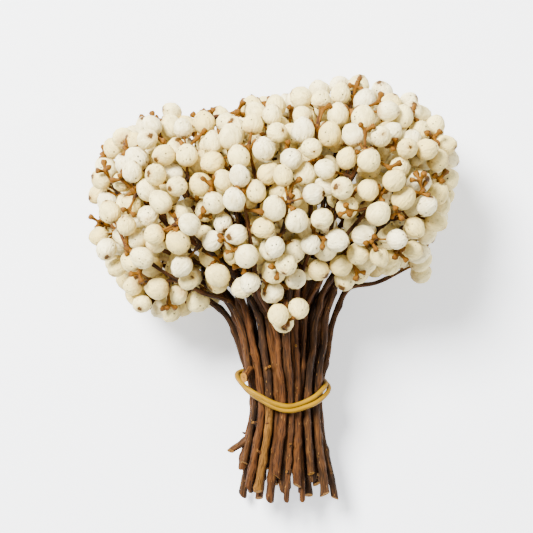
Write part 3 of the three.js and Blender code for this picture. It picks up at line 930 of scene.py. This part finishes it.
# How far down the berry a point lies, a little uneven: this is where its painted shade goes.
shaded_low_end = work_out("MULTIPLY_ADD", marks["Relief"], 0.3, axes_of(spot)[2])
wax_coats = [
    (limit(tone, 0.45, 1.0), (233, 208, 124)),
    (limit(tone, 0.5, 0.1, 0.0, 0.8), (244, 234, 190)),
    (times(marks["Patches"], 0.6), (190, 172, 118)),
    # Painted shade: the grooves between the faint ridges are painted darker.
    (limit(ridges, 0.46, 0.28, 0.0, 0.4), (176, 150, 84)),
    (times(fine["Specks"], 0.8), (78, 58, 28)),
    (times(marks["Specks"], 0.95), (30, 20, 8)),
    # Where the berry hangs: a rust-brown halo that the wax has there, partly painted shade where
    # the berry meets the column, round a brown spot.
    (limit(held_at, 1.2, 0.75, 0.0, 0.5), (160, 116, 40)),
    (limit(held_at, 0.84, 0.66), (74, 46, 0)),
    # Painted shade on the underside: towards its low end the berry turns brownish, then dark brown.
    (limit(shaded_low_end, -0.2, -0.75, 0.0, 0.55), (166, 126, 58)),
    (limit(shaded_low_end, -0.72, -0.84, 0.0, 0.9), (84, 52, 4)),
    (limit(tone, 1.15, 1.25, 0.0, 0.6), (104, 84, 50)),
]
paint(shader, (243, 224, 152), wax_coats)
relief = work_out("MULTIPLY_ADD", marks["Relief"], 0.28, ridges)
relief = work_out("MULTIPLY_ADD", marks["Specks"], -0.35, relief)
emboss(shader, relief, 0.55, 0.0012)
tree.links.new(limit(marks["Patches"], 0.0, 1.0, 0.52, 0.72), shader.inputs["Roughness"])

# One sprig as it grows: its lines get bark and thickness, and every seat its column or berry.
SPRIG_INPUTS = {
    "Lines": None,
    "Wood Sides": WOOD_SIDES,
    "Wrinkle": WRINKLE,
    "Leaf Scar Spacing": LEAF_SCAR_SPACING / 1000,
    "Leaf Scar Height": LEAF_SCAR_HEIGHT,
    "Column Sides": COLUMN_SIDES,
    "Column Rings": COLUMN_RINGS,
    "Shank": SHANK,
    "Shoulders": SHOULDERS,
    "Berry Grid": BERRY_GRID,
    "Berry Length": BERRY_LENGTH,
    "Flat Side": FLAT_SIDE,
    "Point": POINT,
}
dried_sprig, given = new_group("dried sprig", "GeometryNodeTree", SPRIG_INPUTS, {"Sprig": None})
tree = dried_sprig


def compare(operation, value, number):
    inputs = {2: value, 3: number}
    return result("FunctionNodeCompare", inputs, data_type="INT", operation=operation)


def only(geometry, number):
    """The points that carry one kind of seat: 0 wood, 1 column, 2 berry."""
    same = compare("EQUAL", from_attribute("seat", "INT"), number)
    return result("GeometryNodeSeparateGeometry", {0: geometry, 1: same})


def capture(geometry, value, kind="FLOAT"):
    node = put("GeometryNodeCaptureAttribute", {0: geometry})
    node.capture_items.new(kind, "Kept")
    tree.links.new(value, node.inputs[1])
    return node.outputs[0], node.outputs[1]


def keep(geometry, name, value):
    inputs = {"Geometry": geometry, "Name": name, "Value": value}
    return result("GeometryNodeStoreNamedAttribute", inputs, data_type="FLOAT_VECTOR")


def position():
    return result("GeometryNodeInputPosition")


def move_to(geometry, place):
    return result("GeometryNodeSetPosition", {"Geometry": geometry, "Position": place})


def between(share, low, high):
    return result("ShaderNodeMapRange", {0: share, 1: 0.0, 2: 1.0, 3: low, 4: high})


def made_of(geometry, material, smooth=True):
    """The last steps of every branch: shading, real faces, and the material."""
    inputs = {"Geometry": geometry, "Shade Smooth": smooth}
    geometry = result("GeometryNodeSetShadeSmooth", inputs)
    geometry = result("GeometryNodeRealizeInstances", {"Geometry": geometry})
    return result("GeometryNodeSetMaterial", {"Geometry": geometry, "Material": material})


def hoop_of(sides):
    """A ring to sweep along a line, with the angle and the way round it."""
    hoop = result("GeometryNodeCurvePrimitiveCircle", {"Resolution": sides, "Radius": 1.0})
    hoop, share = capture(hoop, result("GeometryNodeSplineParameter"))
    angle = times(share, 2 * math.pi)
    around = vector_of(work_out("COSINE", angle), work_out("SINE", angle), 0)
    return hoop, angle, around


lines = result("GeometryNodeMeshToCurve", {0: only(given["Lines"], 0)})
lines, centre = capture(lines, position(), "VECTOR")
lines, way = capture(lines, result("GeometryNodeInputTangent"), "VECTOR")
hoop, angle, around = hoop_of(given["Wood Sides"])
branch, along = from_attribute("branch"), from_attribute("along")
thick = from_attribute("thick")
sweep = {"Curve": lines, "Profile Curve": hoop, "Scale": thick, "Fill Caps": True}
wood = result("GeometryNodeCurveToMesh", sweep)
ahead = vector_of(0, 0, along)
apart = vector_of(0, 0, branch)
grain = work_out_vector("SCALE", around, scale=thick)
grain = work_out_vector("ADD", grain, ahead)
folds_at = work_out_vector("MULTIPLY_ADD", ahead, (0, 0, 160), around)
folds = noise(work_out_vector("ADD", folds_at, apart), 1.3, 2.0)
folds = times(work_out("SUBTRACT", folds, 0.5), given["Wrinkle"])
folds = times(folds, 3.0)
node_count = work_out("DIVIDE", along, given["Leaf Scar Spacing"])
node_count = work_out("ADD", node_count, branch)
scar = work_out("FLOOR", node_count)
off = work_out("SUBTRACT", work_out("SUBTRACT", node_count, scar), 0.5)
off = times(off, given["Leaf Scar Spacing"])
near = work_out("DIVIDE", times(off, off), -LEAF_SCAR_LENGTH * LEAF_SCAR_LENGTH)
near = work_out("EXPONENT", near)
facing = work_out("SUBTRACT", angle, times(scar, 2.4))
facing = limit(work_out("COSINE", facing), 0.0, 1.0, 0.3, 1.0)
swell = times(times(near, facing), given["Leaf Scar Height"])
reach = work_out("ADD", work_out("ADD", folds, swell), 1.0)
spoke = work_out_vector("SUBTRACT", position(), centre)
skin = work_out_vector("ADD", centre, work_out_vector("SCALE", spoke, scale=reach))
slant = work_out("COSINE", work_out("ADD", angle, branch))
slant = times(times(slant, thick), CUT_SLANT)
slant = times(slant, work_out("LESS_THAN", along, 0.0001))
skin = work_out_vector("ADD", skin, work_out_vector("SCALE", way, scale=slant))
wood = move_to(wood, skin)
wood = keep(wood, "grain", work_out_vector("ADD", grain, apart))
neighbours = result("GeometryNodeInputMeshFaceNeighbors")
is_end = compare("GREATER_THAN", neighbours, 5)
wood = made_of(wood, bark, work_out("SUBTRACT", 1.0, is_end))
ends = {"Geometry": wood, "Selection": is_end, "Material": cut_wood}
wood = result("GeometryNodeSetMaterial", ends)

column_shape = {
    "Vertices": given["Column Sides"],
    "Side Segments": given["Column Rings"],
    "Radius": 1.0,
    "Depth": 1.0,
}
column = result("GeometryNodeMeshCylinder", column_shape, fill_type="TRIANGLE_FAN")
spot = work_out_vector("ADD", position(), (0, 0, 0.5))
column = keep(column, "place", spot)
part = axes_of(spot)
club = put("ShaderNodeFloatCurve", {"Value": part[2]})
curve = club.mapping.curves[0]
curve.points[0].location = CLUB_OUTLINE[0]
curve.points[-1].location = CLUB_OUTLINE[-1]
for x, y in CLUB_OUTLINE[1:-1]:
    curve.points.new(x, y)
club.mapping.update()
width = between(club.outputs[0], given["Shank"], 1.0)
turn = work_out("ARCTAN2", part[1], part[0])
shoulder = times(work_out("COSINE", times(turn, 3.0)), part[2])
shoulder = work_out("MULTIPLY_ADD", shoulder, given["Shoulders"], 1.0)
width = times(width, shoulder)
stretch = vector_of(width, width, 1.0)
column = move_to(column, work_out_vector("MULTIPLY", spot, stretch))

berry_shape = {f"Vertices {axis}": given["Berry Grid"] for axis in "XYZ"}
berry = result("GeometryNodeMeshCube", {"Size": (2, 2, 2), **berry_shape})
spread = work_out_vector("MULTIPLY", position(), (math.pi / 4,) * 3)
eased = [work_out("TANGENT", axis) for axis in axes_of(spread)]
berry = move_to(berry, work_out_vector("NORMALIZE", vector_of(*eased)))
spot = position()
berry = keep(berry, "place", spot)
part = axes_of(spot)
flat = between(work_out("LESS_THAN", part[0], 0.0), 1.0, given["Flat Side"])
top = work_out("MAXIMUM", part[2], 0.0)
narrow = times(times(top, top), given["Point"])
narrow = work_out("SUBTRACT", 1.0, narrow)
longer = times(work_out("POWER", top, 4.0), given["Point"])
longer = work_out("ADD", given["Berry Length"], longer)
shape = vector_of(times(flat, narrow), narrow, longer)
berry = move_to(berry, work_out_vector("MULTIPLY", spot, shape))


def grow_on(seats, thing, material):
    up = {"Vector": from_attribute("up", "FLOAT_VECTOR")}
    turn = result("FunctionNodeAlignRotationToVector", up, axis="Z")
    out = {"Rotation": turn, "Vector": from_attribute("out", "FLOAT_VECTOR")}
    turn = result("FunctionNodeAlignRotationToVector", out, axis="X", pivot_axis="Z")
    size = from_attribute("size", "FLOAT_VECTOR")
    inputs = {"Points": seats, "Instance": thing, "Rotation": turn, "Scale": size}
    return made_of(result("GeometryNodeInstanceOnPoints", inputs), material)


joined = put("GeometryNodeJoinGeometry")
for part in (
    grow_on(only(given["Lines"], 2), berry, seed_wax),
    grow_on(only(given["Lines"], 1), column, column_fibre),
    wood,
):
    tree.links.new(part, joined.inputs[0])
put("NodeGroupOutput", {"Sprig": joined.outputs[0]})


def apply_tree(name, mesh, node_group, values):
    """Runs a tree on a mesh and returns the plain result as an object."""
    start = bpy.data.objects.new(name + "_lines", mesh)
    bpy.context.scene.collection.objects.link(start)
    grow = start.modifiers.new("grow", "NODES")
    grow.node_group = node_group
    for socket in node_group.interface.items_tree:
        is_input = socket.item_type == "SOCKET" and socket.in_out == "INPUT"
        if is_input and values[socket.name] is not None:
            grow[socket.identifier] = values[socket.name]
    grown = start.evaluated_get(bpy.context.evaluated_depsgraph_get())
    made = bpy.data.meshes.new_from_object(grown)
    start.modifiers.remove(grow)
    bpy.data.objects.remove(start)
    made.name = name
    for used in ("seat", "up", "out", "size", "thick", "along", "branch"):
        if used in made.attributes:
            made.attributes.remove(made.attributes[used])
    piece = bpy.data.objects.new(name, made)
    bpy.context.scene.collection.objects.link(piece)
    return piece


def lines_mesh(name, growth):
    mesh = bpy.data.meshes.new(name)
    mesh.from_pydata([tuple(p["at"]) for p in growth["points"]], growth["edges"], [])
    for kind, member, keys in (
        ("FLOAT", "value", ("thick", "along", "tone", "branch")),
        ("INT", "value", ("seat",)),
        ("FLOAT_VECTOR", "vector", ("up", "out", "size")),
    ):
        for key in keys:
            values = np.array([p[key] for p in growth["points"]]).ravel().tolist()
            mesh.attributes.new(key, kind, "POINT").data.foreach_set(member, values)
    return mesh


for index, growth in enumerate(growths):
    number = f"{index + 1:02d}"
    lines = lines_mesh(f"sprig_lines_{number}", growth)
    sprig_piece = apply_tree(f"dried_sprig_{number}", lines, dried_sprig, SPRIG_INPUTS)
    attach(sprig_piece, "root")
    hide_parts(f"sprig_{number}")

# Rubber band.
# One closed loop of mustard-coloured rubber, square in section, wound twice round the stems. It
# runs tight across them; its strands part on the right, and it stands a little loose on the left.
BAND_RADIUS = 0.95
BAND_GAP = 0.3
BAND_LEVEL = 1.9
BAND_LEAN = -1.75
BAND_DIP = -3
BAND_CURL = 1.9
BAND_SLACK = 1.6
STRANDS_APART = 0.9
STRANDS_PART = 0.7
BAND_SIDES = 12
BAND_STEPS = 240
SMOOTHINGS = 6

band_rubber, tree, shader = new_material("band_rubber", 0.42, 0.1)
grain = from_mesh("grain", "Vector")
marks = add_marks(stretched(grain, 900, 900, 250), 2.2, 0.5, 0.14)
pale_specks = (times(marks["Specks"], 0.3), (150, 116, 4))
paint(shader, (138, 102, 0), [(marks["Patches"], (118, 84, 0)), pale_specks])
emboss(shader, marks["Relief"], 0.35, 0.0003)
tree.links.new(limit(marks["Relief"], 0.3, 0.7, 0.36, 0.52), shader.inputs["Roughness"])

BAND_INPUTS = {
    "Run": None,
    "Band Sides": BAND_SIDES,
    "Band Radius": BAND_RADIUS / 1000,
    "Squareness": 0.07,
}
wound_band, given = new_group("wound band", "GeometryNodeTree", BAND_INPUTS, {"Band": None})
tree = wound_band
run = result("GeometryNodeMeshToCurve", {0: given["Run"]})
hoop, angle, around = hoop_of(given["Band Sides"])
square = work_out("COSINE", times(angle, 4.0))
square = times(square, given["Squareness"])
square = times(work_out("MULTIPLY_ADD", square, -1.0, 1.0), given["Band Radius"])
hoop = move_to(hoop, work_out_vector("SCALE", position(), scale=square))
band = result("GeometryNodeCurveToMesh", {"Curve": run, "Profile Curve": hoop})
around = work_out_vector("SCALE", around, scale=given["Band Radius"])
ahead = vector_of(0, 0, from_attribute("along"))
band = keep(band, "grain", work_out_vector("ADD", around, ahead))
put("NodeGroupOutput", {"Band": made_of(band, band_rubber)})


def band_point(angle):
    way = vec(math.cos(angle), 0, math.sin(angle))
    y = BAND_LEVEL + BAND_LEAN * way[0] + BAND_DIP * way[2] + BAND_CURL * math.cos(2 * angle)
    reach = max(stem_at(sprig, y) @ way + sprig["radius"] for sprig in sprigs)
    loop = BAND_SLACK * max(0, -way[0]) ** 6
    wound = (angle - math.pi / 2) / 2
    above = STRANDS_APART * math.sin(wound)
    along = STRANDS_APART * math.cos(wound) * (1 + STRANDS_PART * max(0, way[0]) ** 3)
    return way * (reach + BAND_RADIUS + BAND_GAP + loop + above) + vec(0, y + along, 0)


band_run = np.array([band_point(k * 4 * math.pi / BAND_STEPS) for k in range(BAND_STEPS)])
for smoothing in range(SMOOTHINGS):
    band_run = band_run / 2 + (np.roll(band_run, 1, 0) + np.roll(band_run, -1, 0)) / 4
loop_edges = [(k, (k + 1) % BAND_STEPS) for k in range(BAND_STEPS)]
mesh = bpy.data.meshes.new("band_run")
mesh.from_pydata([tuple(p) for p in placed(band_run)], loop_edges, [])
gaps = np.roll(band_run, -1, 0) - band_run
along = np.append(0, np.cumsum(lengths(gaps))[:-1]) / 1000
mesh.attributes.new("along", "FLOAT", "POINT").data.foreach_set("value", along)
band_piece = apply_tree("mustard_rubber_band", mesh, wound_band, BAND_INPUTS)
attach(band_piece, "root")
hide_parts("rubber_band")

# The table, the light and the camera.
# The bunch lies on a plain white sheet, in daylight that comes softly from the upper left, and is
# seen from straight above. The sheet also glows a little by itself, which is painted light.
CAMERA_OVER = (-0.0026, 0.0103)
CAMERA_HEIGHT = 0.69
CAMERA_LENS = 112
SHEET_SIZE = 3
SHEET_LEVEL = -0.0002
SHEET_GLOW = 0.85
ROOM_COLOUR = (0.95, 0.97, 1, 1)
ROOM_LIGHT = 0.8
LIT_SPOT = Vector((0, 0.01, 0.03))

sheet_material, tree, shader = new_material("white_sheet", 0.9, 0.5)
spot = put("ShaderNodeTexCoord").outputs["Object"]
base = paint(shader, (236, 237, 239), [(noise(spot, 3.0, 2.0), (241, 242, 244))])
# Painted light: the sheet glows a little, which brightens it and the shadows on it.
tree.links.new(base, shader.inputs["Emission Color"])
shader.inputs["Emission Strength"].default_value = SHEET_GLOW
bpy.ops.mesh.primitive_plane_add(size=SHEET_SIZE)
white_sheet = bpy.context.object
white_sheet.name = "white_sheet"
white_sheet.location.z = SHEET_LEVEL
white_sheet.data.materials.append(sheet_material)

world = bpy.data.worlds.new("soft_room")
world.use_nodes = True
room = world.node_tree.nodes["Background"]
room.inputs[0].default_value = ROOM_COLOUR
room.inputs[1].default_value = ROOM_LIGHT
bpy.context.scene.world = world


def add_window(name, place, size, power):
    lamp = bpy.data.lights.new(name, "AREA")
    lamp.shape = "DISK"
    lamp.size = size
    lamp.energy = power
    window = bpy.data.objects.new(name, lamp)
    bpy.context.scene.collection.objects.link(window)
    window.location = place
    towards = LIT_SPOT - window.location
    window.rotation_euler = towards.to_track_quat("-Z", "Y").to_euler()


add_window("window", (-0.6, 0.7, 1.2), 0.55, 122)
add_window("bounce", (0.9, -0.5, 0.9), 1.2, 10)

lens = bpy.data.cameras.new("from_above")
lens.lens = CAMERA_LENS
camera = bpy.data.objects.new("from_above", lens)
camera.location = (*CAMERA_OVER, CAMERA_HEIGHT)
bpy.context.scene.collection.objects.link(camera)
bpy.context.scene.camera = camera
